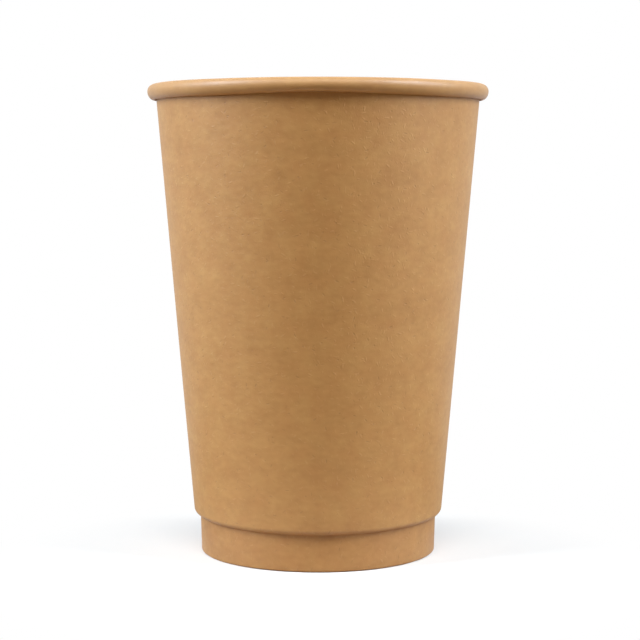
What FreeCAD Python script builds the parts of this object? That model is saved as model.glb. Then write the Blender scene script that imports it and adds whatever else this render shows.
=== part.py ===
"""A double-walled kraft paper cup, built from its three real pieces of board.

cup_wall      one fan-shaped blank rolled into a cone with a glued lap seam. Its upper edge is curled
              outwards into the rim, and its lower edge is folded in and up round the base.
cup_base      one round blank with its edge turned down into a skirt, which the wall's fold holds.
outer_sleeve  one fan-shaped blank rolled into a wider cone with a lap seam of its own. Its lower edge
              is turned in onto the foot of the cup, and its upper edge sits under the rim.

Millimetres and degrees, +Z up. The origin is the centre of the ring that the cup stands on. Each piece
is drawn as its section in the half plane x > 0 and turned about the Z axis.
"""

import FreeCAD, Part
import math
import os

import Sketcher
from FreeCAD import Placement, Rotation, Vector

# Driving dimensions

SIZES = {
    "rim_diameter": 90.0,
    "cup_height": 124.0,
    "roll_diameter": 3.6,
    "roll_tuck_angle": 30.0,
    "foot_diameter": 62.6,
    "foot_taper_angle": 1.7,
    "floor_height": 10.3,
    "wall_board": 0.35,
    "base_board": 0.3,
    "sleeve_board": 0.35,
    "glue_gap": 0.05,
    "fold_bend_radius": 0.06,
    "fold_height": 7.5,
    "skirt_clearance": 0.5,
    "base_bend_radius": 0.5,
    "sleeve_air_gap": 0.75,
    "sleeve_curl_radius": 1.6,
    "sleeve_edge_drop": 0.4,
    "lap_angle": 10.0,
    "lap_ramp_angle": 3.5,
    "cup_seam_angle": 103.0,
    "sleeve_seam_angle": 73.0,
    "relief_margin_angle": 1.0,
}

# Sizes that follow from the driving ones, worked out in a second sheet by its own formulas

FORMULAS = {
    # The rim's roll is a circle in section, touching the top and the outside of the rim.
    "roll_radius": "Sizes.roll_diameter / 2",
    "roll_x": "Sizes.rim_diameter / 2 - roll_radius",
    "roll_z": "Sizes.cup_height - roll_radius",
    # The foot band leans out by the foot's taper. Its inner face meets the cone at the floor's height.
    "band_lean": "tan(Sizes.foot_taper_angle)",
    "band_stretch": "1 / cos(Sizes.foot_taper_angle)",
    "band_x": "Sizes.foot_diameter / 2 - Sizes.wall_board * band_stretch",
    "kink_x": "band_x + band_lean * Sizes.floor_height",
    # The cone's inner face runs from that kink to where it touches the roll's circle.
    "kink_to_roll": "hypot(roll_x - kink_x; roll_z - Sizes.floor_height)",
    "roll_direction": "atan2(roll_x - kink_x; roll_z - Sizes.floor_height) / 1 deg",
    "wall_angle": "roll_direction - asin(roll_radius / kink_to_roll) / 1 deg",
    "kink_angle": "(wall_angle + Sizes.foot_taper_angle) / 2",
    "kink_stretch": "1 / cos((wall_angle - Sizes.foot_taper_angle) / 2)",
    # The fold's slot holds the base's skirt, with a line of glue on each side.
    "slot_width": "Sizes.base_board + 2 * Sizes.glue_gap",
    "bend_z": "Sizes.wall_board + Sizes.fold_bend_radius",
    "outer_bend_x": "band_x + band_lean * bend_z - Sizes.fold_bend_radius * band_stretch",
    "inner_bend_x": "outer_bend_x - (slot_width - 2 * Sizes.fold_bend_radius) * band_stretch",
    "fold_top_x": "band_x + band_lean * Sizes.fold_height - slot_width * band_stretch",
    # The base's skirt hangs in the slot, parallel to the band.
    "base_bend_z": "Sizes.floor_height - Sizes.base_board - Sizes.base_bend_radius",
    "base_inset": "Sizes.glue_gap + Sizes.base_board + Sizes.base_bend_radius",
    "base_bend_x": "band_x + band_lean * base_bend_z - base_inset * band_stretch",
    "skirt_end_z": "Sizes.wall_board + Sizes.skirt_clearance",
    "skirt_end_x": "band_x + band_lean * skirt_end_z - Sizes.glue_gap * band_stretch",
    # The sleeve's lower edge is a quarter turn that ends on the foot, just under the floor's height.
    "curl_x": "Sizes.foot_diameter / 2 + band_lean * Sizes.floor_height + Sizes.glue_gap",
    "curl_z": "Sizes.floor_height - Sizes.sleeve_edge_drop + Sizes.sleeve_curl_radius",
    # The sleeve's upper edge stops under the roll, one air gap out from the cone.
    "sleeve_inset": "Sizes.wall_board + Sizes.sleeve_air_gap + Sizes.sleeve_board",
    "sleeve_top_z": "Sizes.cup_height - Sizes.roll_diameter - Sizes.glue_gap",
    "cone_top_x": "kink_x + tan(wall_angle) * (sleeve_top_z - Sizes.floor_height)",
    "sleeve_top_x": "cone_top_x + sleeve_inset / cos(wall_angle)",
    "curl_to_top": "hypot(sleeve_top_x - curl_x; sleeve_top_z - curl_z)",
    "top_direction": "atan2(sleeve_top_x - curl_x; sleeve_top_z - curl_z) / 1 deg",
    "sleeve_angle": "top_direction - asin(Sizes.sleeve_curl_radius / curl_to_top) / 1 deg",
    # Where the cup's own lap passes, the sleeve's lower edge is cut back to clear it.
    "relief_x": "curl_x + Sizes.wall_board * band_stretch",
    "relief_angle": "Sizes.lap_angle + Sizes.lap_ramp_angle + 2 * Sizes.relief_margin_angle",
}

doc = FreeCAD.newDocument("paper_cup")


def add_sheet(name, cells, prefix):
    """Makes a spreadsheet with one named cell on each row."""
    sheet = doc.addObject("Spreadsheet::Sheet", name)
    for row, (alias, content) in enumerate(cells.items(), start=1):
        sheet.set(f"A{row}", alias)
        sheet.set(f"B{row}", f"{prefix}{content}")
        sheet.setAlias(f"B{row}", alias)
    doc.recompute()
    return sheet


add_sheet("Sizes", SIZES, "")
worked = add_sheet("Worked", FORMULAS, "=")


# Points and profiles. Every coordinate is a formula on the two sheets.


def value_of(formula):
    """The number that a formula gives at the present sizes."""
    result = worked.evalExpression(formula)
    return getattr(result, "Value", result)


def offset(point, distance, direction):
    """The point at a distance from another, in a direction measured from +X towards +Z."""
    return (
        f"{point[0]} + ({distance}) * cos({direction})",
        f"{point[1]} + ({distance}) * sin({direction})",
    )


def vector_of(point):
    """A point of formulas as a vector in the sketch's plane."""
    return Vector(value_of(point[0]), value_of(point[1]), 0)


def arc_to(centre, radius, turn):
    """The edge that follows a corner when it is an arc. The turn is 1 anticlockwise and -1 clockwise."""
    return {"centre": centre, "radius": radius, "turn": turn}


def hold(sketch, kind, edge, end, formula, name):
    """Fixes one coordinate of an edge's end, measured from the origin, to a formula."""
    index = sketch.addConstraint(Sketcher.Constraint(kind, -1, 1, edge, end, value_of(formula)))
    sketch.renameConstraint(index, name)
    sketch.setExpression(f"Constraints.{name}", formula)


def add_profile(body, name, corners, turned="0"):
    """Draws a closed section of a piece, in the XZ plane turned about Z.

    A corner is (name, point, edge). The edge leads to the next corner: None is a straight line.
    """
    plane = next(item for item in body.Origin.OriginFeatures if item.Role == "XZ_Plane")
    sketch = body.newObject("Sketcher::SketchObject", f"{body.Name}_{name}")
    sketch.AttachmentSupport = [(plane, "")]
    sketch.MapMode = "FlatFace"
    sketch.AttachmentOffset = Placement(Vector(), Rotation(Vector(0, 1, 0), value_of(turned)))
    sketch.setExpression("AttachmentOffset.Rotation.Angle", f"({turned}) * 1 deg")

    starts = []
    finishes = []
    for number, (_, point, edge) in enumerate(corners):
        first = vector_of(point)
        last = vector_of(corners[(number + 1) % len(corners)][1])
        if edge is None:
            sketch.addGeometry(Part.LineSegment(first, last), False)
            starts.append(1)
            finishes.append(2)
            continue
        centre = vector_of(edge["centre"])
        circle = Part.Circle(centre, Vector(0, 0, 1), value_of(edge["radius"]))
        angles = [math.atan2(place.y - centre.y, place.x - centre.x) for place in (first, last)]
        sketch.addGeometry(Part.ArcOfCircle(circle, *angles[:: edge["turn"]]), False)
        starts.append(1 if edge["turn"] > 0 else 2)
        finishes.append(2 if edge["turn"] > 0 else 1)

    for number, (label, point, edge) in enumerate(corners):
        previous = number - 1 if number else len(corners) - 1
        sketch.addConstraint(
            Sketcher.Constraint("Coincident", previous, finishes[previous], number, starts[number])
        )
        for kind, formula, suffix, axis in (
            ("DistanceX", point[0], "x", -2),
            ("DistanceY", point[1], "z", -1),
        ):
            if formula == "0":
                sketch.addConstraint(Sketcher.Constraint("PointOnObject", number, starts[number], axis))
            else:
                hold(sketch, kind, number, starts[number], formula, f"{label}_{suffix}")
        if edge is not None:
            radius = Sketcher.Constraint("Radius", number, value_of(edge["radius"]))
            index = sketch.addConstraint(radius)
            sketch.renameConstraint(index, f"{label}_radius")
            sketch.setExpression(f"Constraints.{label}_radius", edge["radius"])
    return sketch


def add_turned(body, kind, name, sketch, angle):
    """Turns a section about the Z axis, to add material (Revolution) or to cut it (Groove)."""
    feature = body.newObject(f"PartDesign::{kind}", f"{body.Name}_{name}")
    feature.Profile = sketch
    feature.ReferenceAxis = (sketch, ["V_Axis"])
    feature.setExpression("Angle", angle)
    return feature


def add_ramp(body, name, thick_section, thin_section):
    """Lofts the soft slope where the upper layer of a lap comes down onto the single sheet."""
    feature = body.newObject("PartDesign::AdditiveLoft", f"{body.Name}_{name}")
    feature.Profile = thick_section
    feature.Sections = [thin_section]
    feature.Ruled = True
    return feature


def new_body(name):
    """One piece of the cup, at the origin."""
    body = doc.addObject("PartDesign::Body", name)
    body.Label = name
    body.Placement = Placement()
    return body


# Cup wall: stations along the sheet's path, each at a depth measured outwards from its inner face

OUTER_BEND = ("Worked.outer_bend_x", "Worked.bend_z")
INNER_BEND = ("Worked.inner_bend_x", "Worked.bend_z")
ROLL = ("Worked.roll_x", "Worked.roll_z")
BAND_NORMAL = "-Sizes.foot_taper_angle"
FLAP_NORMAL = "180 - Sizes.foot_taper_angle"
ROLL_END = "-90 - Sizes.roll_tuck_angle"


def band_foot(depth):
    """Where the foot band leaves the bend at the floor."""
    return offset(OUTER_BEND, f"Sizes.fold_bend_radius + {depth}", BAND_NORMAL)


def kink(depth):
    """Where the foot band turns into the cone, on the line that halves that corner."""
    base = ("Worked.kink_x", "Sizes.floor_height")
    return offset(base, f"({depth}) * Worked.kink_stretch", "-Worked.kink_angle")


def roll_start(depth):
    """Where the cone runs into the roll."""
    return offset(ROLL, f"Worked.roll_radius - {depth}", "180 - Worked.wall_angle")


def roll_top(depth):
    """The highest point of the roll, where its inner and outer halves meet."""
    return offset(ROLL, f"Worked.roll_radius - {depth}", "90")


def roll_end(depth):
    """The sheet's edge, tucked back under the roll."""
    return offset(ROLL, f"Worked.roll_radius - {depth}", ROLL_END)


def roll_edge(depth, turn):
    """The roll's arc at a depth in the sheet."""
    return arc_to(ROLL, f"Worked.roll_radius - {depth}", turn)


def add_cup_wall():
    """The inner cup: fold, foot band, cone and rolled rim in one sheet, then its lap."""
    body = new_body("cup_wall")
    board = "Sizes.wall_board"
    bend = "Sizes.fold_bend_radius"
    thick_bend = f"{bend} + {board}"
    slot_corner = offset(INNER_BEND, bend, FLAP_NORMAL)
    flap_top = ("Worked.fold_top_x", "Sizes.fold_height")
    section = add_profile(
        body,
        "section",
        [
            ("flap_slot_top", flap_top, None),
            ("flap_inner_top", offset(flap_top, board, FLAP_NORMAL), None),
            ("flap_foot", offset(INNER_BEND, thick_bend, FLAP_NORMAL), arc_to(INNER_BEND, thick_bend, 1)),
            ("ring_inner", (INNER_BEND[0], "0"), None),
            ("ring_outer", (OUTER_BEND[0], "0"), arc_to(OUTER_BEND, thick_bend, 1)),
            ("band_outer", band_foot(board), None),
            ("kink_outer", kink(board), None),
            ("roll_inside", roll_start(board), roll_edge(board, -1)),
            ("top_inside", roll_top(board), roll_edge(board, -1)),
            ("edge_inside", roll_end(board), None),
            ("edge_outside", roll_end("0"), roll_edge("0", 1)),
            ("top_outside", roll_top("0"), roll_edge("0", 1)),
            ("roll_outside", roll_start("0"), None),
            ("kink_inner", kink("0"), None),
            ("band_inner", band_foot("0"), arc_to(OUTER_BEND, bend, -1)),
            ("slot_outer", (OUTER_BEND[0], board), None),
            ("slot_inner", (INNER_BEND[0], board), arc_to(INNER_BEND, bend, -1)),
            ("slot_flap", slot_corner, None),
        ],
    )
    add_turned(body, "Revolution", "sheet", section, "360")

    # The lap's upper layer starts half way into the sheet below, so that the two are one solid.
    middle = f"{board} / 2"
    double = f"2 * {board}"
    lap = add_profile(
        body,
        "lap_section",
        [
            ("foot_low", band_foot(middle), None),
            ("foot_high", band_foot(double), None),
            ("kink_high", kink(double), None),
            ("roll_high", roll_start(double), roll_edge(double, -1)),
            ("top_high", roll_top(double), roll_edge(double, -1)),
            ("edge_high", roll_end(double), None),
            ("edge_low", roll_end(middle), roll_edge(middle, 1)),
            ("top_low", roll_top(middle), roll_edge(middle, 1)),
            ("roll_low", roll_start(middle), None),
            ("kink_low", kink(middle), None),
        ],
        "Sizes.cup_seam_angle",
    )
    add_turned(body, "Revolution", "lap", lap, "Sizes.lap_angle")
    ramp_angle = "Sizes.cup_seam_angle + Sizes.lap_angle"
    ends = []
    for name, low, high, turned in (
        ("ramp_thick", middle, double, ramp_angle),
        ("ramp_thin", f"{board} / 4", f"3 * {board} / 4", f"{ramp_angle} + Sizes.lap_ramp_angle"),
    ):
        corners = [
            ("foot_low", band_foot(low), None),
            ("foot_high", band_foot(high), None),
            ("kink_high", kink(high), None),
            ("roll_high", roll_start(high), None),
            ("roll_low", roll_start(low), None),
            ("kink_low", kink(low), None),
        ]
        ends.append(add_profile(body, name, corners, turned))
    add_ramp(body, "lap_ramp", *ends)
    return body


# Base: a flat disc with its skirt hanging in the fold


def add_cup_base():
    """The floor of the cup, with its rounded shoulder and its skirt."""
    body = new_body("cup_base")
    board = "Sizes.base_board"
    bend = "Sizes.base_bend_radius"
    centre = ("Worked.base_bend_x", "Worked.base_bend_z")
    thick_bend = f"{bend} + {board}"
    skirt_end = ("Worked.skirt_end_x", "Worked.skirt_end_z")
    underside = f"Sizes.floor_height - {board}"
    section = add_profile(
        body,
        "section",
        [
            ("centre_top", ("0", "Sizes.floor_height"), None),
            ("centre_under", ("0", underside), None),
            ("shoulder_under", (centre[0], underside), arc_to(centre, bend, -1)),
            ("skirt_inner", offset(centre, bend, BAND_NORMAL), None),
            ("skirt_end_inner", offset(skirt_end, board, FLAP_NORMAL), None),
            ("skirt_end_outer", skirt_end, None),
            ("skirt_outer", offset(centre, thick_bend, BAND_NORMAL), arc_to(centre, thick_bend, 1)),
            ("shoulder_top", (centre[0], "Sizes.floor_height"), None),
        ],
    )
    add_turned(body, "Revolution", "disc", section, "360")
    return body


# Outer sleeve: stations along its path, each at a height above its outer face

CURL = ("Worked.curl_x", "Worked.curl_z")
SLEEVE_NORMAL = "-Worked.sleeve_angle"


def curl_end(height):
    """The sleeve's lower edge, against the foot."""
    return (CURL[0], f"{CURL[1]} - Sizes.sleeve_curl_radius - ({height})")


def curl_start(height):
    """Where the sleeve's cone runs into the turned edge."""
    return offset(CURL, f"Sizes.sleeve_curl_radius + {height}", SLEEVE_NORMAL)


def sleeve_top(height):
    """The sleeve's upper edge, under the rim."""
    return offset(("Worked.sleeve_top_x", "Worked.sleeve_top_z"), height, SLEEVE_NORMAL)


def curl_edge(height, turn):
    """The turned edge's arc at a height above the outer face."""
    return arc_to(CURL, f"Sizes.sleeve_curl_radius + {height}", turn)


def sleeve_strip(low, high):
    """The closed outline between two heights, from the turned edge up to the rim."""
    return [
        ("end_high", curl_end(high), curl_edge(high, 1)),
        ("curl_high", curl_start(high), None),
        ("top_high", sleeve_top(high), None),
        ("top_low", sleeve_top(low), None),
        ("curl_low", curl_start(low), curl_edge(low, -1)),
        ("end_low", curl_end(low), None),
    ]


def add_outer_sleeve():
    """The outer wall: cone and turned edge in one sheet, its lap, and the relief over the cup's lap."""
    body = new_body("outer_sleeve")
    board = "Sizes.sleeve_board"
    section = add_profile(body, "section", sleeve_strip(f"-{board}", "0"))
    add_turned(body, "Revolution", "sheet", section, "360")

    middle = f"-{board} / 2"
    lap = add_profile(body, "lap_section", sleeve_strip(middle, board), "Sizes.sleeve_seam_angle")
    add_turned(body, "Revolution", "lap", lap, "Sizes.lap_angle")
    ramp_angle = "Sizes.sleeve_seam_angle + Sizes.lap_angle"
    ends = []
    for name, low, high, turned in (
        ("ramp_thick", middle, board, ramp_angle),
        ("ramp_thin", f"-3 * {board} / 4", f"-{board} / 4", f"{ramp_angle} + Sizes.lap_ramp_angle"),
    ):
        corners = [
            ("curl_high", curl_start(high), None),
            ("top_high", sleeve_top(high), None),
            ("top_low", sleeve_top(low), None),
            ("curl_low", curl_start(low), None),
        ]
        ends.append(add_profile(body, name, corners, turned))
    add_ramp(body, "lap_ramp", *ends)

    under = curl_end(board)[1]
    over = curl_end(f"-2 * {board}")[1]
    relief = add_profile(
        body,
        "relief_section",
        [
            ("inner_under", ("Worked.band_x", under), None),
            ("outer_under", ("Worked.relief_x", under), None),
            ("outer_over", ("Worked.relief_x", over), None),
            ("inner_over", ("Worked.band_x", over), None),
        ],
        "Sizes.cup_seam_angle - Sizes.relief_margin_angle",
    )
    doc.recompute()
    volume_before = body.Shape.Volume
    add_turned(body, "Groove", "relief", relief, "Worked.relief_angle")
    doc.recompute()
    if body.Shape.Volume >= volume_before:
        raise RuntimeError("the relief cuts nothing from the sleeve")
    return body


pieces = [add_cup_wall(), add_cup_base(), add_outer_sleeve()]
doc.recompute()

# Every object has to be sound before anything is written

for item in doc.Objects:
    if "Invalid" in item.State or "Error" in item.State:
        raise RuntimeError(f"{item.Name} failed: {item.State}")
for body in pieces:
    if body.Shape.isNull() or not body.Shape.isValid():
        raise RuntimeError(f"{body.Label} has no sound shape")

os.makedirs("parts", exist_ok=True)
for body in pieces:
    body.Shape.exportStep(f"parts/{body.Label}.step")
    box = body.Shape.BoundBox
    print(
        f"{body.Label}: {len(body.Shape.Solids)} solid, {body.Shape.Volume / 1000:.3f} cm3,"
        f" x {box.XMin:.3f} to {box.XMax:.3f}, z {box.ZMin:.3f} to {box.ZMax:.3f}"
    )
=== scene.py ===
# %% [markdown]
# A double-walled paper cup, rolled from three blanks of brown kraft board
#
# The real cup is made by winding flat blanks round tapered formers. One fan-shaped blank becomes the inner
# cup, whose top edge is curled out into the rim. A round blank becomes the base. A second fan becomes the
# outer sleeve, with an air gap behind it. This lesson winds the same three blanks in numpy, so each piece is
# a sheet with a true thickness, true cut edges and a true lap seam.
#
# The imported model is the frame: it gives the sizes, and nothing in it is moved.

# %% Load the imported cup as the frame
import math

import bpy
import numpy as np
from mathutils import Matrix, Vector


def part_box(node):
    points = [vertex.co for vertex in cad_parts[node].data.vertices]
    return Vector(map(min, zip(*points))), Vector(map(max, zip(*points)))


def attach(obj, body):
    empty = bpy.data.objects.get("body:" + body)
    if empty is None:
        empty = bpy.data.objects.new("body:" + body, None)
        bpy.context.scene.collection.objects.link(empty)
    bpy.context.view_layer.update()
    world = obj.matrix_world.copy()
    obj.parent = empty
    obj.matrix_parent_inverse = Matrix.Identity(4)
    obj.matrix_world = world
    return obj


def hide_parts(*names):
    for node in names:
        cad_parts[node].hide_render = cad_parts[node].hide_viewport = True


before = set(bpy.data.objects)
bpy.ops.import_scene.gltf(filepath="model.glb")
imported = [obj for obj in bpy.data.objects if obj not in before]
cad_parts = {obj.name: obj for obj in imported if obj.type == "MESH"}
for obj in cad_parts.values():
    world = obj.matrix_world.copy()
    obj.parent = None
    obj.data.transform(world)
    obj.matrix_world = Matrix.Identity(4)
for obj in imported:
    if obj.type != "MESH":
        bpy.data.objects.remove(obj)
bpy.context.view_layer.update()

print("nodes:", sorted(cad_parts))

# %% [markdown]
# Sizes in millimetres
#
# The overall sizes are read from the frame, so the pieces always fit it. The few that a box can't give, such
# as the thickness of the board or the radius of a bend, are written here once. Working in millimetres keeps
# the numbers readable, and each mesh is turned into metres when it is made.

# %% Name the cup's sizes
MM = 1000.0
wall_low, wall_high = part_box("cup_wall")
base_low, base_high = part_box("cup_base")
sleeve_low, sleeve_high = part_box("outer_sleeve")

RIM_RADIUS = round(wall_high.x * MM, 1)
CUP_HEIGHT = round(wall_high.z * MM, 1)
FLOOR_HEIGHT = round(base_high.z * MM, 2)

ROLL_RADIUS = 1.8
ROLL_TUCK = math.radians(30.0)
FOOT_RADIUS = 31.3
FOOT_TAPER = math.radians(1.7)
WALL_BOARD = 0.35
BASE_BOARD = 0.3
SLEEVE_BOARD = 0.35
GLUE = 0.05
SLEEVE_TOP_Z = CUP_HEIGHT - 2.0 * ROLL_RADIUS - GLUE
FOLD_BEND = 0.06
FOLD_HEIGHT = 7.5
BASE_BEND = 0.5
SKIRT_CLEARANCE = 0.5
SKIRT_END_Z = WALL_BOARD + SKIRT_CLEARANCE
AIR_GAP = 0.75
CURL_RADIUS = 1.6
CURL_DROP = 0.4
LAP_ANGLE = math.radians(10.0)
RAMP_ANGLE = math.radians(3.5)
CUP_SEAM = math.radians(103.0)
SLEEVE_SEAM = math.radians(73.0)
print(f"rim {2 * RIM_RADIUS} mm, height {CUP_HEIGHT} mm, base at {FLOOR_HEIGHT} mm")

# %% [markdown]
# Tangent points
#
# In section each blank is a chain of straight runs and bends that meet without a corner. The foot band leans
# out a little, the cone leans out more, and the cone runs into the roll of the rim along a tangent. A tangent
# from a point to a circle leaves the line to the centre by the arcsine of radius over distance, and that is
# all the geometry that the chain needs.

# %% Work out where the straight runs meet the bends
LEAN = math.tan(FOOT_TAPER)
STRETCH = 1.0 / math.cos(FOOT_TAPER)
BAND_X = FOOT_RADIUS - WALL_BOARD * STRETCH
ROLL_CENTRE = (RIM_RADIUS - ROLL_RADIUS, CUP_HEIGHT - ROLL_RADIUS)
KINK = (BAND_X + LEAN * FLOOR_HEIGHT, FLOOR_HEIGHT)


def tangent_angle(start, centre, radius):
    """Lean from the vertical of the line from a point that touches a circle on its side nearer the axis."""
    across = centre[0] - start[0]
    up = centre[1] - start[1]
    return math.atan2(across, up) - math.asin(radius / math.hypot(across, up))


CONE_ANGLE = tangent_angle(KINK, ROLL_CENTRE, ROLL_RADIUS)
BEND_Z = WALL_BOARD + FOLD_BEND
SLOT = BASE_BOARD + 2.0 * GLUE
OUTER_BEND = (BAND_X + LEAN * BEND_Z - FOLD_BEND * STRETCH, BEND_Z)
INNER_BEND = (OUTER_BEND[0] - (SLOT - 2.0 * FOLD_BEND) * STRETCH, BEND_Z)
FLAP_TOP = (BAND_X + LEAN * FOLD_HEIGHT - SLOT * STRETCH, FOLD_HEIGHT)
print(f"the cone leans {math.degrees(CONE_ANGLE):.2f} degrees")

# %% [markdown]
# Curves by depth
#
# A bent sheet keeps its thickness, so both faces are the same chain at two depths. A straight run moves along
# its normal, and a bend keeps its centre and changes its radius. Here every chain is a function of the depth,
# measured from one face. The depth may differ at every angle round the cup: that is how one layer of a lap
# seam climbs over the other. All angles are worked out at once, as rows of an array.

# %% Make runs and bends as whole arrays


def column(values):
    """One value for each angle, as a column that spreads over the points of the chain."""
    return np.asarray(values, float).reshape(-1, 1)


def run(start, end, count, skip_first=False):
    """Points evenly along straight lines, one line to each row: start plus a share of the way to the end."""
    share = np.linspace(0.0, 1.0, count)[1 if skip_first else 0:]
    return [column(first) + (column(last) - column(first)) * share for first, last in zip(start, end)]


def bend(centre, radius, first, last, count, skip_first=False):
    """Points evenly along arcs: the centre plus the radius in directions from the first to the last."""
    share = np.linspace(0.0, 1.0, count)[1 if skip_first else 0:]
    turn = column(first) + (column(last) - column(first)) * share
    return [
        column(centre[0]) + column(radius) * np.cos(turn),
        column(centre[1]) + column(radius) * np.sin(turn),
    ]


def chain(parts):
    """Joins runs and bends into one chain, as two arrays of x and z with a row for each angle."""
    rows = max(part[0].shape[0] for part in parts)
    return [
        np.concatenate([np.broadcast_to(part[axis], (rows, part[axis].shape[1])) for part in parts], axis=1)
        for axis in (0, 1)
    ]


def shifted(point, distance, direction):
    """A point moved by a distance, which may differ at every angle, in one direction."""
    return (point[0] + distance * math.cos(direction), point[1] + distance * math.sin(direction))


def smooth_step(values, low, high):
    """Rises from 0 at low to 1 at high with no corner: three squares less two cubes of the share."""
    share = np.clip((values - low) / (high - low), 0.0, 1.0)
    return share * share * (3.0 - 2.0 * share)


# %% [markdown]
# Unevenness
#
# A formed paper edge is never a perfect circle. A few slow waves round the cup, with amplitudes that fall as
# they get shorter, give the slight wander that the rim and the sleeve's lower edge show. The phases come
# from a seeded generator, so every run gives the same cup.

# %% Define waves that run round the cup
SWAY = 0.07
SWAY_STARTS = (14.0, 45.0)
SWAY_ENDS = (88.0, 116.0)
SWAY_TWIST = 0.006


def waves(angle, lowest, highest, seed):
    """A sum of cosines round the cup, each as strong as one over its number, scaled to stay within 2."""
    random = np.random.default_rng(seed)
    total = np.zeros_like(angle)
    weight = 0.0
    for number in range(lowest, highest + 1):
        total += np.cos(number * angle + random.uniform(0.0, 2.0 * math.pi)) / number
        weight += 0.5 / number
    return total / weight


def sway(angle, height):
    """How far the walls wander outwards at a place on them: slow waves that fade at the foot and the rim."""
    fade = smooth_step(height, *SWAY_STARTS) * (1.0 - smooth_step(height, *SWAY_ENDS))
    return SWAY * waves(angle + SWAY_TWIST * height, 2, 5, 11) * fade


# %% [markdown]
# A sheet wound into a cup
#
# The grid has one direction along the section and one round the cup. The winding goes once round and then
# another lap further, over its own beginning. Just before the lap the sheet ramps out by its own thickness.
# The two faces and the four cut edges close into one solid shell. The flat blank also gives the texture
# coordinates: unrolled, a cone is a fan, so the distance from the fan's point and the angle on the fan place
# each spot on flat board. The paper's fibres are laid out there, and follow the board round every bend.

# %% Wind a section into a closed sheet
PRESS = 0.02
FACE_SHIFT = 700.0
CUP_SHIFT = 0.0
SLEEVE_SHIFT = 900.0
BASE_SHIFT = 2000.0
NO_TRIANGLES = np.zeros((0, 3), dtype=int)
STEPS_AROUND = (16, 10, 376, 14, 16)
CREASE_ANGLE = math.radians(35.0)


def winding(seam):
    """Turns travelled along the sheet, the angles where they lie, and the climb over the layer below."""
    whole = 2.0 * math.pi
    marks = [0.0, LAP_ANGLE, LAP_ANGLE + RAMP_ANGLE, whole - RAMP_ANGLE, whole, whole + LAP_ANGLE]
    spans = zip(marks, marks[1:], STEPS_AROUND)
    steps = [np.linspace(low, high, count + 1)[:-1] for low, high, count in spans]
    travelled = np.concatenate(steps + [np.array([marks[-1]])])
    angle = seam + LAP_ANGLE - travelled
    climb = smooth_step(travelled, marks[3], marks[4])
    under = 1.0 - smooth_step(travelled, marks[1], marks[2])
    return travelled, angle, climb, under


def path_length(x, z):
    """Length along the section up to each point, from the first row."""
    steps = np.hypot(np.diff(x[0]), np.diff(z[0]))
    return np.concatenate([[0.0], np.cumsum(steps)])


def sheet_faces(rows, count):
    """Quads of the two faces, then of the long cut edges and the two ends, all turned the same way."""
    near = np.arange(rows * count).reshape(rows, count)
    far = near + rows * count
    faces = [
        np.stack([near[:-1, :-1], near[1:, :-1], near[1:, 1:], near[:-1, 1:]], -1),
        np.stack([far[:-1, :-1], far[:-1, 1:], far[1:, 1:], far[1:, :-1]], -1),
        np.stack([near[1:, 0], near[:-1, 0], far[:-1, 0], far[1:, 0]], -1),
        np.stack([near[:-1, -1], near[1:, -1], far[1:, -1], far[:-1, -1]], -1),
        np.stack([near[0, :-1], near[0, 1:], far[0, 1:], far[0, :-1]], -1),
        np.stack([near[-1, 1:], near[-1, :-1], far[-1, :-1], far[-1, 1:]], -1),
    ]
    slots = [1, 0, 2, 2, 2, 2]
    quads = [face.reshape(-1, 4) for face in faces]
    return np.concatenate(quads), np.concatenate([np.full(len(q), s) for q, s in zip(quads, slots)])


def enclosed(places, faces):
    """Signed volume inside a closed mesh: the sum of the tetrahedra from the origin to each triangle."""
    first = places[faces[:, 0]]
    total = 0.0
    for second, third in ((1, 2), (2, 3)):
        cross = np.cross(places[faces[:, second]], places[faces[:, third]])
        total += float(np.einsum("ij,ij->i", first, cross).sum()) / 6.0
    return total


def new_piece(name, places, quads, triangles, slots, blank, materials):
    """Puts arrays of places, faces and blank coordinates into a mesh, facing outwards, in metres."""
    faces = np.concatenate([quads, triangles[:, [0, 1, 2, 2]]])
    volume = enclosed(places, faces)
    if volume < 0.0:
        quads = quads[:, ::-1]
        triangles = triangles[:, ::-1]
    mesh = bpy.data.meshes.new(name)
    mesh.from_pydata((places / MM).tolist(), [], quads.tolist() + triangles.tolist())
    mesh.polygons.foreach_set("material_index", slots.astype(np.int32))
    mesh.polygons.foreach_set("use_smooth", np.ones(len(faces), dtype=bool))
    corners = np.empty(len(mesh.loops), dtype=np.int32)
    mesh.loops.foreach_get("vertex_index", corners)
    layer = mesh.uv_layers.new(name="blank")
    layer.data.foreach_set("uv", (blank[corners] / MM).astype(np.float32).ravel())
    mesh.set_sharp_from_angle(angle=CREASE_ANGLE)
    mesh.update()
    piece = bpy.data.objects.new(name, mesh)
    bpy.context.scene.collection.objects.link(piece)
    for material in materials:
        mesh.materials.append(material)
    print(f"{name}: {len(mesh.polygons)} faces, {abs(volume) / 1000.0:.2f} cm3 of board")
    return piece


def wind(name, section, board, seam, fan_start, lean, shift, materials):
    """Winds a section round the axis, over its own start, with a board's thickness between its faces."""
    travelled, angle, climb, under = winding(seam)
    layer = (board + PRESS) * climb
    press = (board + PRESS) * under
    faces_xz = [section(layer + depth, angle, layer + press) for depth in (0.0, board)]
    reach = fan_start + path_length(*faces_xz[0])
    fan_turn = column((travelled - travelled[-1] / 2.0) * math.sin(lean))
    flat = np.stack([reach * np.cos(fan_turn), reach * np.sin(fan_turn)], -1).reshape(-1, 2)
    places = [
        np.stack([x * np.cos(column(angle)), x * np.sin(column(angle)), z], -1).reshape(-1, 3)
        for x, z in faces_xz
    ]
    rows, count = faces_xz[0][0].shape
    faces, slots = sheet_faces(rows, count)
    blank = np.concatenate([flat + (shift, FACE_SHIFT), flat + (shift, 0.0)])
    return new_piece(name, np.concatenate(places), faces, NO_TRIANGLES, slots, blank, materials)


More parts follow.
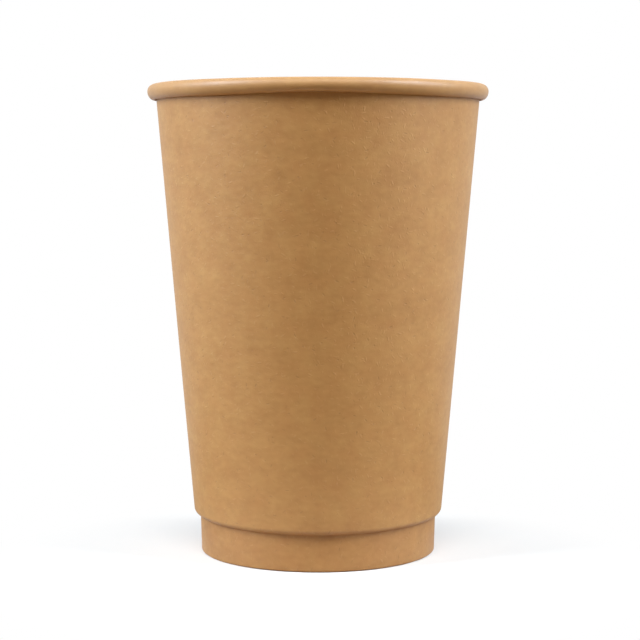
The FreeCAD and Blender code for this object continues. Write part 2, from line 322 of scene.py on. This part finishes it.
# %% [markdown]
# Shader expressions
#
# Paper is all small variation, so its material is mostly arithmetic on patterns. A thin wrapper round an
# output socket lets that arithmetic be written as plain Python: each operator adds one Math node. Nodes of
# any other kind come from one method, which sets a node up, feeds its sockets and returns its output.

# %% Wrap a socket so that sums can be written


class Wire:
    """An output socket that takes part in sums, products and powers with numbers and other wires."""

    def __init__(self, tree, socket):
        self.tree = tree
        self.socket = socket

    @classmethod
    def node(cls, tree, kind, settings=None, inputs=None, output=0):
        """Adds a node: its settings first, then a value or a wire for each socket, by name or number."""
        made = tree.nodes.new(kind)
        for name, value in (settings or {}).items():
            setattr(made, name, value)
        for key, value in (inputs or {}).items():
            feed(made.inputs[key], value)
        return cls(tree, made.outputs[output])

    def other(self, output):
        """Another output of the same node."""
        return Wire(self.tree, self.socket.node.outputs[output])

    def math(self, operation, first, second, clamp=False):
        """One Math node."""
        settings = {"operation": operation, "use_clamp": clamp}
        return Wire.node(self.tree, "ShaderNodeMath", settings, {0: first, 1: second})

    def __add__(self, other):
        return self.math("ADD", self, other)

    def __radd__(self, other):
        return self.math("ADD", other, self)

    def __sub__(self, other):
        return self.math("SUBTRACT", self, other)

    def __rsub__(self, other):
        return self.math("SUBTRACT", other, self)

    def __mul__(self, other):
        return self.math("MULTIPLY", self, other)

    def __rmul__(self, other):
        return self.math("MULTIPLY", other, self)

    def __pow__(self, other):
        return self.math("POWER", self, other)

    def __lt__(self, other):
        return self.math("LESS_THAN", self, other)


def feed(socket, value):
    """Gives an input socket a wire, a number, a vector, or a colour written with three numbers."""
    if isinstance(value, Wire):
        value.tree.links.new(value.socket, socket)
    elif socket.type == "RGBA":
        socket.default_value = (*value[:3], 1.0)
    else:
        socket.default_value = value


def blend_colours(tree, amount, first, second):
    """Goes from the first colour to the second as the amount goes from 0 to 1."""
    return Wire.node(tree, "ShaderNodeMix", {"data_type": "RGBA"}, {0: amount, 6: first, 7: second}, 2)


# %% [markdown]
# Patterns on the flat blank
#
# Everything that varies over the board is laid out on the flat blank, in real millimetres, so a fibre keeps
# its size on the cone, on the foot and round the roll. Clouds come from noise. A paper machine drags the
# pulp one way, so clouds may be stretched along the blank, which runs round the cup.
#
# Fibres and specks of bark are short, thin and point every way. A Voronoi pattern scatters one point to a
# cell, and each cell has a random colour. Turning the place around the point by that colour, and squashing
# it, gives one stroke to a cell. The stroke is where the sum of two squares is under 1: the way along over
# half its length, and the way across over half its width.

# %% Lay clouds and strokes on the blank


def on_blank(tree, cell, offset, drag=1.0):
    """The place on the blank counted in cells of some millimetres, which drag makes longer round the cup."""
    blank = Wire.node(tree, "ShaderNodeUVMap", {"uv_map": "blank"})
    scale = (MM / cell, MM / (cell * drag), 0.0)
    shift = (offset, 1.7 * offset, 0.0)
    ends = {0: blank, 1: scale, 2: shift}
    return Wire.node(tree, "ShaderNodeVectorMath", {"operation": "MULTIPLY_ADD"}, ends)


def clouds(tree, size, offset, finer=0.0, drag=1.0):
    """Soft noise between -0.5 and 0.5, in patches of some millimetres, with a number of finer layers."""
    place = on_blank(tree, size, offset, drag)
    inputs = {"Vector": place, "Scale": 1.0, "Detail": finer, "Roughness": 0.85}
    return Wire.node(tree, "ShaderNodeTexNoise", {"noise_dimensions": "2D"}, inputs) - 0.5


def strokes(tree, cell, length, width, share, offset):
    """A mask of soft-edged strokes, one to a cell in a share of the cells, with sizes in millimetres."""
    place = on_blank(tree, cell, offset)
    scatter = {"voronoi_dimensions": "2D", "feature": "F1"}
    chance = Wire.node(tree, "ShaderNodeTexVoronoi", scatter, {"Vector": place, "Scale": 1.0}, "Color")
    centre = chance.other("Position")
    around = Wire.node(tree, "ShaderNodeVectorMath", {"operation": "SUBTRACT"}, {0: place, 1: centre})
    turn = Wire.node(tree, "ShaderNodeSeparateColor", {}, {"Color": chance}, "Red")
    spin = {"Vector": around, "Angle": turn * (2.0 * math.pi)}
    turned = Wire.node(tree, "ShaderNodeVectorRotate", {"rotation_type": "Z_AXIS"}, spin)
    along = Wire.node(tree, "ShaderNodeSeparateXYZ", {}, {"Vector": turned}, "X")
    across = along.other("Y")
    reach = (along * (2.0 * cell / length)) ** 2.0 + (across * (2.0 * cell / width)) ** 2.0
    fade = {"Value": reach, "From Min": 1.3, "From Max": 0.1, "To Min": 0.0, "To Max": 1.0}
    inside = Wire.node(tree, "ShaderNodeMapRange", {"interpolation_type": "SMOOTHSTEP"}, fade)
    strength = 0.3 + 0.7 * turn.other("Blue")
    return inside * (turn.other("Green") < share) * strength


# %% [markdown]
# Kraft board
#
# Unbleached board is one warm brown. The pulp settles unevenly at every scale, so it is clouded, and its
# fibres are both lighter and darker than the rest. The surface is matte, and the fibres stand up just enough
# to catch light on one side and to give a pale sheen where the board is seen at a slant. The inner face of a
# hot cup also has a thin coating. It fills the surface, so the rim and the inside are smoother, with a soft
# shine that runs in streaks along the roll. Their colour is also painted paler all over: painted sheen, in
# place of the pale sheen on the top of the roll. A cut edge shows the loose, paler core of the board.
# The inner cup's raw face, seen on the foot, is painted a little darker than the sleeve's: painted shade
# on the foot.

# %% Make the three finishes of the board, and a darker copy with painted shade for the foot


def linear(red, green, blue):
    """A colour as it is written on screen, from 0 to 255, turned into the light that a shader works in."""
    shares = [value / 255.0 for value in (red, green, blue)]
    return tuple(s / 12.92 if s <= 0.04045 else ((s + 0.055) / 1.055) ** 2.4 for s in shares)


KRAFT_DARK = linear(172, 117, 55)
KRAFT_LIGHT = linear(203, 152, 86)
KRAFT_RUSSET = linear(192, 130, 68)
FIBRE_PALE = linear(238, 200, 146)
FIBRE_BARK = linear(104, 66, 34)
BUMP_DEPTH = 0.00008


def board_finish(name, roughness, relief, fibres, shine, fuzz=0.04, tint=0.5, painted_sheen=0.0, streaks=0.0):
    """One finish of kraft board: cloudy colour, pale and dark fibres, and relief from the same patterns."""
    material = bpy.data.materials.new(name)
    material.use_nodes = True
    tree = material.node_tree
    shader = tree.nodes["Principled BSDF"]

    mottle = clouds(tree, 8.0, 3.1, finer=3.0, drag=1.3)
    grain = clouds(tree, 0.5, 1.3, finer=1.0)
    flecks = clouds(tree, 1.3, 7.7, drag=2.0)
    tone = tint + 0.95 * mottle + 0.24 * flecks
    colour = blend_colours(tree, tone, KRAFT_DARK, KRAFT_LIGHT)
    russet = 0.12 + 0.4 * clouds(tree, 4.0, 21.4)
    colour = blend_colours(tree, russet, colour, KRAFT_RUSSET)

    pale = strokes(tree, 3.0, 1.3, 0.45, 0.7, 0.0) + 0.8 * strokes(tree, 1.6, 0.8, 0.36, 0.6, 31.0)
    bark = strokes(tree, 3.4, 1.1, 0.36, 0.4, 57.0) + strokes(tree, 4.4, 0.5, 0.4, 0.5, 83.0)
    # Painted sheen: a share of pale colour laid evenly over the whole finish.
    colour = blend_colours(tree, painted_sheen + (0.07 * fibres) * pale, colour, FIBRE_PALE)
    colour = blend_colours(tree, (0.22 * fibres) * bark, colour, FIBRE_BARK)
    feed(shader.inputs["Base Color"], colour)

    sheen = clouds(tree, 1.2, 44.0, finer=2.0, drag=9.0)
    feed(shader.inputs["Roughness"], roughness + 0.12 * grain + streaks * sheen)

    height = 0.2 * grain + 1.2 * mottle + 0.35 * pale - 0.4 * bark
    bump = {"Strength": relief, "Distance": BUMP_DEPTH, "Height": height}
    feed(shader.inputs["Normal"], Wire.node(tree, "ShaderNodeBump", {}, bump))
    shader.inputs["Specular IOR Level"].default_value = shine
    shader.inputs["Sheen Weight"].default_value = fuzz
    shader.inputs["Sheen Roughness"].default_value = 0.5
    return material


RAW_FACE = board_finish("kraft_raw_face", roughness=0.54, relief=0.8, fibres=1.0, shine=0.85)
# The coated face's paler colour is painted sheen.
COATED_FACE = board_finish(
    "kraft_coated_face",
    roughness=0.5,
    relief=0.35,
    fibres=0.6,
    shine=0.75,
    fuzz=0.08,
    tint=0.22,
    painted_sheen=0.15,
    streaks=0.2,
)
CUT_EDGE = board_finish("kraft_cut_edge", roughness=0.8, relief=1.0, fibres=0.7, shine=0.4, tint=0.75)
# Painted shade: a darker copy of the raw face for the inner cup, which shows on the foot.
FOOT_FACE_PAINTED_SHADE = board_finish("kraft_foot_painted_shade", roughness=0.54, relief=0.8, fibres=1.0, shine=0.85, tint=0.22)
BOARD = (RAW_FACE, COATED_FACE, CUT_EDGE)
CUP_BOARD = (FOOT_FACE_PAINTED_SHADE, COATED_FACE, CUT_EDGE)
print("finishes:", [material.name for material in (FOOT_FACE_PAINTED_SHADE, *BOARD)])

# %% [markdown]
# The inner cup
#
# One sheet runs up the inside of the foot, round the fold that the cup stands on, up the foot band, up the
# cone, and out and round into the roll of the rim. Depth is measured from the face that the drink touches,
# so on the roll a deeper layer has a smaller radius. Under the lap the fold is pressed thin enough to keep
# the cup level: the upper layer's fold is lifted by what it would otherwise stand below the table.
#
# The roll isn't quite even. To the left and right of the front it hangs half a millimetre lower. Its edge
# isn't tucked in there, because it would cut into the sleeve.

# %% Wind the inner cup
FOOT_GAP = 0.06
FOOT_SETTLES = (1.0, 4.0)
RIM_DIP = 0.06
RIM_DIPS = (112.0, 120.0)
RIPPLE = 0.004
ROLL_HANG = 0.28
HANG_ASIDE = (0.0, 0.7)
HANG_FORWARD = (-0.7, 0.1)
OPEN_ASIDE = (0.0, 0.35)
OPEN_FORWARD = (-0.95, -0.75)


def roll_hang(angle):
    """How far the roll hangs and its tuck opens, 1 beside the front. The tuck opens before the roll drops."""
    aside = np.abs(np.cos(angle))
    forward = -np.sin(angle)
    hang = smooth_step(aside, *HANG_ASIDE) * smooth_step(forward, *HANG_FORWARD)
    opened = smooth_step(aside, *OPEN_ASIDE) * smooth_step(forward, *OPEN_FORWARD)
    return hang, opened


def cup_section(depth, angle, lift):
    """The chain of the cup's blank at a depth: flap, fold, foot band, cone and roll."""
    flap_normal = math.pi - FOOT_TAPER
    rim_wave = waves(angle, 2, 7, 5)
    ripple = waves(angle, 6, 19, 8)
    radius = ROLL_RADIUS * (1.0 - RIPPLE * ripple**2)
    roll_from = math.pi - CONE_ANGLE
    start = shifted(ROLL_CENTRE, radius - depth, roll_from)
    corner = shifted(KINK, depth / math.cos((CONE_ANGLE - FOOT_TAPER) / 2), -(CONE_ANGLE + FOOT_TAPER) / 2)
    band = shifted(OUTER_BEND, FOLD_BEND + depth, -FOOT_TAPER)
    flap = shifted(INNER_BEND, FOLD_BEND + depth, flap_normal)
    bend_radius = FOLD_BEND + depth
    hang, opened = roll_hang(angle)
    roll_to = -math.pi / 2 - ROLL_TUCK * (1.0 - opened)
    roll = bend(ROLL_CENTRE, radius - depth, roll_from, roll_to, 44, skip_first=True)
    roll[1] = roll[1] + ROLL_HANG * column(hang) * np.minimum(roll[1] - ROLL_CENTRE[1], 0.0)
    x, z = chain([
        run(shifted(FLAP_TOP, depth, flap_normal), flap, 6),
        bend(INNER_BEND, bend_radius, flap_normal, 1.5 * math.pi, 8, skip_first=True),
        bend(OUTER_BEND, bend_radius, 1.5 * math.pi, 2.0 * math.pi - FOOT_TAPER, 8),
        run(band, corner, 8, skip_first=True),
        run(corner, start, 40, skip_first=True),
        roll,
    ])
    x = x + sway(column(angle), z)
    settle = FOOT_GAP * waves(angle, 1, 3, 50) ** 2
    z = z + column(lift + settle) * (1.0 - smooth_step(z, *FOOT_SETTLES))
    z = z - RIM_DIP * column(rim_wave) ** 2 * smooth_step(z, *RIM_DIPS)
    return x, z


cup_wall = wind(
    "inner_cup",
    cup_section,
    WALL_BOARD,
    CUP_SEAM,
    KINK[0] / math.sin(CONE_ANGLE),
    CONE_ANGLE,
    CUP_SHIFT,
    CUP_BOARD,
)
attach(cup_wall, "root")
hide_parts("cup_wall")

# %% [markdown]
# The base
#
# The base is a disc with its edge turned down. It has no seam, so a full turn of its section is enough. The
# first and last point of the section lie on the axis, where a ring of points would pile up. Each becomes a
# single pole instead, closed with triangles. Its flat coordinates are those of the round blank.

# %% Turn the base
COATED_STEPS = 30
BASE_STEPS = 288


def base_section():
    """The closed outline of the base from the pole on top, round the shoulder and skirt, to the one below."""
    centre_z = FLOOR_HEIGHT - BASE_BOARD - BASE_BEND
    centre = (BAND_X + LEAN * centre_z - (GLUE + BASE_BOARD + BASE_BEND) * STRETCH, centre_z)
    end = (BAND_X + LEAN * SKIRT_END_Z - GLUE * STRETCH, SKIRT_END_Z)
    end_inner = shifted(end, BASE_BOARD, math.pi - FOOT_TAPER)
    full = BASE_BEND + BASE_BOARD
    underside = FLOOR_HEIGHT - BASE_BOARD
    return chain([
        run((0.0, FLOOR_HEIGHT), (centre[0], FLOOR_HEIGHT), 12),
        bend(centre, full, math.pi / 2, -FOOT_TAPER, 14, skip_first=True),
        run(shifted(centre, full, -FOOT_TAPER), end, 8, skip_first=True),
        run(end, end_inner, 3, skip_first=True),
        run(end_inner, shifted(centre, BASE_BEND, -FOOT_TAPER), 8, skip_first=True),
        bend(centre, BASE_BEND, -FOOT_TAPER, math.pi / 2, 12, skip_first=True),
        run((centre[0], underside), (0.0, underside), 12, skip_first=True),
    ])


def turn_base(name, materials, around):
    """Revolves the outline once, with one pole at each end of it."""
    x, z = base_section()
    reach = path_length(x, z)
    reach = np.minimum(reach, reach[-1] - reach)
    angle = np.arange(around) * (2.0 * math.pi / around)
    ring = slice(1, -1)
    places = np.stack(
        [
            x[0, ring] * np.cos(column(angle)),
            x[0, ring] * np.sin(column(angle)),
            np.broadcast_to(z[0, ring], (around, x.shape[1] - 2)),
        ],
        -1,
    ).reshape(-1, 3)
    flat = np.stack([reach[ring] * np.cos(column(angle)), reach[ring] * np.sin(column(angle))], -1)
    poles = np.array([[0.0, 0.0, z[0, 0]], [0.0, 0.0, z[0, -1]]])
    count = x.shape[1] - 2
    grid = np.arange(around * count).reshape(around, count)
    after = np.roll(grid, -1, axis=0)
    top, bottom = around * count, around * count + 1
    quads = np.stack([grid[:, :-1], grid[:, 1:], after[:, 1:], after[:, :-1]], -1).reshape(-1, 4)
    tops = np.stack([np.full(around, top), grid[:, 0], after[:, 0]], -1)
    bottoms = np.stack([np.full(around, bottom), after[:, -1], grid[:, -1]], -1)
    coated = np.tile(np.arange(count - 1) < COATED_STEPS, around).astype(np.int32)
    slots = np.concatenate([coated, np.ones(around), np.zeros(around)])
    blank = np.concatenate([flat.reshape(-1, 2), np.zeros((2, 2))]) + (BASE_SHIFT, 0.0)
    places = np.concatenate([places, poles])
    return new_piece(name, places, quads, np.concatenate([tops, bottoms]), slots, blank, materials)


cup_base = turn_base("base_disc", BOARD, BASE_STEPS)
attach(cup_base, "root")
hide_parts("cup_base")

# %% [markdown]
# The outer sleeve
#
# The second fan is wound an air gap wider than the cup. Its lower edge is turned in by a quarter bend until
# it meets the foot, which leaves the small step near the bottom of the cup. The edge wanders a little, as
# pressed paper does. Where it crosses the cup's own lap it stops short by one thickness of board.

# %% Wind the outer sleeve
CURL_X = FOOT_RADIUS + LEAN * FLOOR_HEIGHT + GLUE
CURL_Z = FLOOR_HEIGHT - CURL_DROP + CURL_RADIUS
CONE_TOP_X = KINK[0] + math.tan(CONE_ANGLE) * (SLEEVE_TOP_Z - FLOOR_HEIGHT)
SLEEVE_TOP_X = CONE_TOP_X + (WALL_BOARD + AIR_GAP + SLEEVE_BOARD) / math.cos(CONE_ANGLE)
SLEEVE_ANGLE = tangent_angle((CURL_X, CURL_Z), (SLEEVE_TOP_X, SLEEVE_TOP_Z), CURL_RADIUS)
LAP_END_FADE = math.radians(2.5)
LAP_CLEARANCE = 0.03
EDGE_OVAL = 0.15
EDGE_WAVES = 0.05
EDGE_FADES = (10.0, 17.0)


def over_cup_lap(angle):
    """1 where the cup's lap lies under the sleeve's lower edge, 0 elsewhere, with soft ends."""
    middle = CUP_SEAM + (LAP_ANGLE + RAMP_ANGLE) / 2
    away = np.abs(np.mod(angle - middle + math.pi, 2.0 * math.pi) - math.pi)
    half = (LAP_ANGLE + RAMP_ANGLE) / 2
    return 1.0 - smooth_step(away, half, half + LAP_END_FADE)


def sleeve_section(depth, angle, lift):
    """The chain of the sleeve's blank, from its lower edge up. Depth runs outwards from its inner face.

    The lift is for a section that stands on the table. This one doesn't, so it makes no use of it.
    """
    outward = depth - SLEEVE_BOARD
    radius = CURL_RADIUS + outward
    relief = (WALL_BOARD + PRESS + LAP_CLEARANCE) * over_cup_lap(angle)
    first = -math.pi / 2 + np.arcsin(np.clip(relief / radius, 0.0, 1.0))
    start = shifted((CURL_X, CURL_Z), radius, -SLEEVE_ANGLE)
    end = shifted((SLEEVE_TOP_X, SLEEVE_TOP_Z), outward, -SLEEVE_ANGLE)
    x, z = chain([
        bend((CURL_X, CURL_Z), radius, first, -SLEEVE_ANGLE, 18),
        run(start, end, 44, skip_first=True),
    ])
    x = x + sway(column(angle), z)
    waver = EDGE_OVAL * np.cos(2.0 * angle) + EDGE_WAVES * waves(angle, 4, 13, 21)
    z = z + column(waver) * (1.0 - smooth_step(z, *EDGE_FADES))
    return x, z


outer_sleeve = wind(
    "sleeve",
    sleeve_section,
    SLEEVE_BOARD,
    SLEEVE_SEAM,
    CURL_X / math.sin(SLEEVE_ANGLE),
    SLEEVE_ANGLE,
    SLEEVE_SHIFT,
    BOARD,
)
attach(outer_sleeve, "root")
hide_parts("outer_sleeve")

# %% [markdown]
# The camera
#
# The photograph looks at the cup from a little above its middle, from about half a metre away, with a long
# lens. The distance, the tilt and the lens were found by matching the widths of the rim, the walls and the
# foot, and the heights at which they lie in the picture.

# %% Place the camera
PHOTO_WIDTH = 640
CAMERA_DISTANCE = 0.47219
CAMERA_HEIGHT = 0.10145
CAMERA_TILT = 0.0842
FOCAL_PIXELS = 1769.5
AXIS_PIXEL = 317.95
SENSOR = 36.0

camera_data = bpy.data.cameras.new("camera")
camera_data.sensor_width = SENSOR
camera_data.lens = FOCAL_PIXELS * SENSOR / PHOTO_WIDTH
camera_data.shift_x = (PHOTO_WIDTH / 2 - AXIS_PIXEL) / PHOTO_WIDTH
camera_data.clip_start = 0.01
camera = bpy.data.objects.new("camera", camera_data)
camera.location = (0.0, -CAMERA_DISTANCE, CAMERA_HEIGHT)
camera.rotation_euler = (math.pi / 2 - CAMERA_TILT, 0.0, 0.0)
bpy.context.scene.collection.objects.link(camera)
bpy.context.scene.camera = camera
print(f"lens {camera_data.lens:.1f} mm, shift {camera_data.shift_x:.4f}")

# %% [markdown]
# Floor and backdrop
#
# The picture's ground is plain white with a soft shadow beside the foot. The floor near the cup is lit like
# any pale floor, so it holds that shadow, and further out what the camera sees of it turns into plain white.
# What the floor throws back onto the cup is less and browner, as from a sheet of kraft that is darkest round
# the foot. White would fill the shadows under the rim and the sleeve with grey, where the real ones are a
# deep warm brown. A studio is white behind the object and dim on the photographer's side. So the white that
# reflections see fades towards the front, and the middle of the cup keeps its deep colour while its sides
# turn pale. On the floor the fade is counted in metres and ends close behind the cup, because the lower wall
# mirrors the floor there.

# %% Lay the floor and set the backdrop
FLOOR_SIZE = 8.0
WHITE = (1.0, 1.0, 1.0)
FLOOR_SEEN = (0.92, 0.895, 0.845)
CARD_NEAR = (0.26, 0.165, 0.08)
CARD_FAR = (0.3, 0.21, 0.12)
SHADOW_CENTRE = (0.0, -0.022, 0.0)
SHADOW_REACH = (0.046, 0.09)
AMBIENT = 0.06
ROOM_DIM = 0.95
ROOM_TURN = 0.6
FLOOR_TURN = 0.12


def seen_directly(tree):
    """1 for rays from the camera, from reflections and through glass, and 0 for light that is scattered."""
    camera_ray = Wire.node(tree, "ShaderNodeLightPath", output="Is Camera Ray")
    mirrored = camera_ray.other("Is Glossy Ray") + camera_ray.other("Is Transmission Ray")
    return camera_ray.math("ADD", camera_ray, mirrored, clamp=True)


def room_level(tree, forward, reach):
    """1 all round for the camera. For reflections it falls on the camera's side, where the room is dim."""
    room = {"Value": forward, "From Min": 0.0, "From Max": reach, "To Min": ROOM_DIM, "To Max": 0.0}
    dim = Wire.node(tree, "ShaderNodeMapRange", {"interpolation_type": "SMOOTHSTEP"}, room)
    mirrored = Wire.node(tree, "ShaderNodeLightPath", output="Is Glossy Ray")
    return 1.0 - dim * mirrored


def make_floor():
    """A large flat square at the height that the cup stands on."""
    half = FLOOR_SIZE / 2.0
    corners = [(-half, -half, 0.0), (half, -half, 0.0), (half, half, 0.0), (-half, half, 0.0)]
    mesh = bpy.data.meshes.new("floor")
    mesh.from_pydata(corners, [], [(0, 1, 2, 3)])
    floor = bpy.data.objects.new("floor", mesh)
    bpy.context.scene.collection.objects.link(floor)
    material = bpy.data.materials.new("pale_floor")
    material.use_nodes = True
    tree = material.node_tree
    tree.nodes.clear()
    seen = seen_directly(tree)
    place = Wire.node(tree, "ShaderNodeTexCoord", output="Object")
    ends = {0: place, 1: SHADOW_CENTRE}
    away = Wire.node(tree, "ShaderNodeVectorMath", {"operation": "DISTANCE"}, ends, "Value")
    near, far = SHADOW_REACH
    fade = {"Value": away, "From Min": near, "From Max": far}
    beyond = Wire.node(tree, "ShaderNodeMapRange", {"interpolation_type": "SMOOTHSTEP"}, fade)
    card = blend_colours(tree, beyond, CARD_NEAR, CARD_FAR)
    grey = blend_colours(tree, seen, card, FLOOR_SEEN)
    lit = Wire.node(tree, "ShaderNodeBsdfDiffuse", {}, {"Color": grey})
    forward = Wire.node(tree, "ShaderNodeSeparateXYZ", {}, {"Vector": place}, "Y")
    glow = {"Color": WHITE, "Strength": room_level(tree, forward, FLOOR_TURN)}
    white = Wire.node(tree, "ShaderNodeEmission", {}, glow)
    surface = Wire.node(tree, "ShaderNodeMixShader", {}, {0: seen * beyond, 1: lit, 2: white})
    result = tree.nodes.new("ShaderNodeOutputMaterial")
    feed(result.inputs["Surface"], surface)
    mesh.materials.append(material)
    return floor


make_floor()


def set_backdrop():
    """White where it is seen, and a dim even light on the cup from all round."""
    world = bpy.data.worlds.new("studio")
    bpy.context.scene.world = world
    world.use_nodes = True
    tree = world.node_tree
    background = tree.nodes["Background"]
    feed(background.inputs["Color"], WHITE)
    towards = Wire.node(tree, "ShaderNodeTexCoord", output="Generated")
    forward = Wire.node(tree, "ShaderNodeSeparateXYZ", {}, {"Vector": towards}, "Y")
    level = room_level(tree, forward, ROOM_TURN)
    feed(background.inputs["Strength"], AMBIENT + (level - AMBIENT) * seen_directly(tree))


set_backdrop()
print("ambient level", AMBIENT)

# %% [markdown]
# Soft boxes
#
# The cup is darkest in the middle and bright on both sides, and a deep soft shadow hangs under the roll. So
# most light comes from both sides, and less from high up in front. The sides are the cooler part, so the
# side boxes are slightly cool and the front box almost neutral. Each soft box is placed by the direction
# in which it is seen from the cup. Its strength is the brightness of its face, and the power of the lamp
# follows from its area.

# %% Hang the soft boxes
AIM_HEIGHT = 0.06
BOX_DISTANCE = 2.2
NEUTRAL = (0.95, 0.92, 0.91)
COOL = (0.88, 1.01, 1.16)


def soft_box(name, azimuth, elevation, width, height, level, colour):
    """An area lamp that faces the cup. Its azimuth is counted from the camera's side towards the left."""
    turn = math.radians(azimuth)
    rise = math.radians(elevation)
    lamp = bpy.data.lights.new(name, "AREA")
    lamp.shape = "RECTANGLE"
    lamp.size = width
    lamp.size_y = height
    lamp.energy = level * math.pi * width * height
    lamp.color = colour
    holder = bpy.data.objects.new(name, lamp)
    holder.location = (
        -BOX_DISTANCE * math.cos(rise) * math.sin(turn),
        -BOX_DISTANCE * math.cos(rise) * math.cos(turn),
        AIM_HEIGHT + BOX_DISTANCE * math.sin(rise),
    )
    holder.rotation_euler = (math.pi / 2.0 - rise, 0.0, -turn)
    bpy.context.scene.collection.objects.link(holder)


soft_box("left_box", azimuth=73.0, elevation=39.0, width=1.0, height=1.2, level=12.8, colour=COOL)
soft_box("left_low_box", azimuth=84.0, elevation=16.0, width=0.9, height=0.7, level=6.8, colour=COOL)
soft_box("right_box", azimuth=-73.0, elevation=39.0, width=1.0, height=1.2, level=12.8, colour=COOL)
soft_box("right_low_box", azimuth=-84.0, elevation=16.0, width=0.9, height=0.7, level=4.5, colour=COOL)
soft_box("front_box", azimuth=0.0, elevation=56.0, width=1.2, height=1.0, level=4.9, colour=NEUTRAL)

bpy.context.scene.view_settings.view_transform = "Standard"
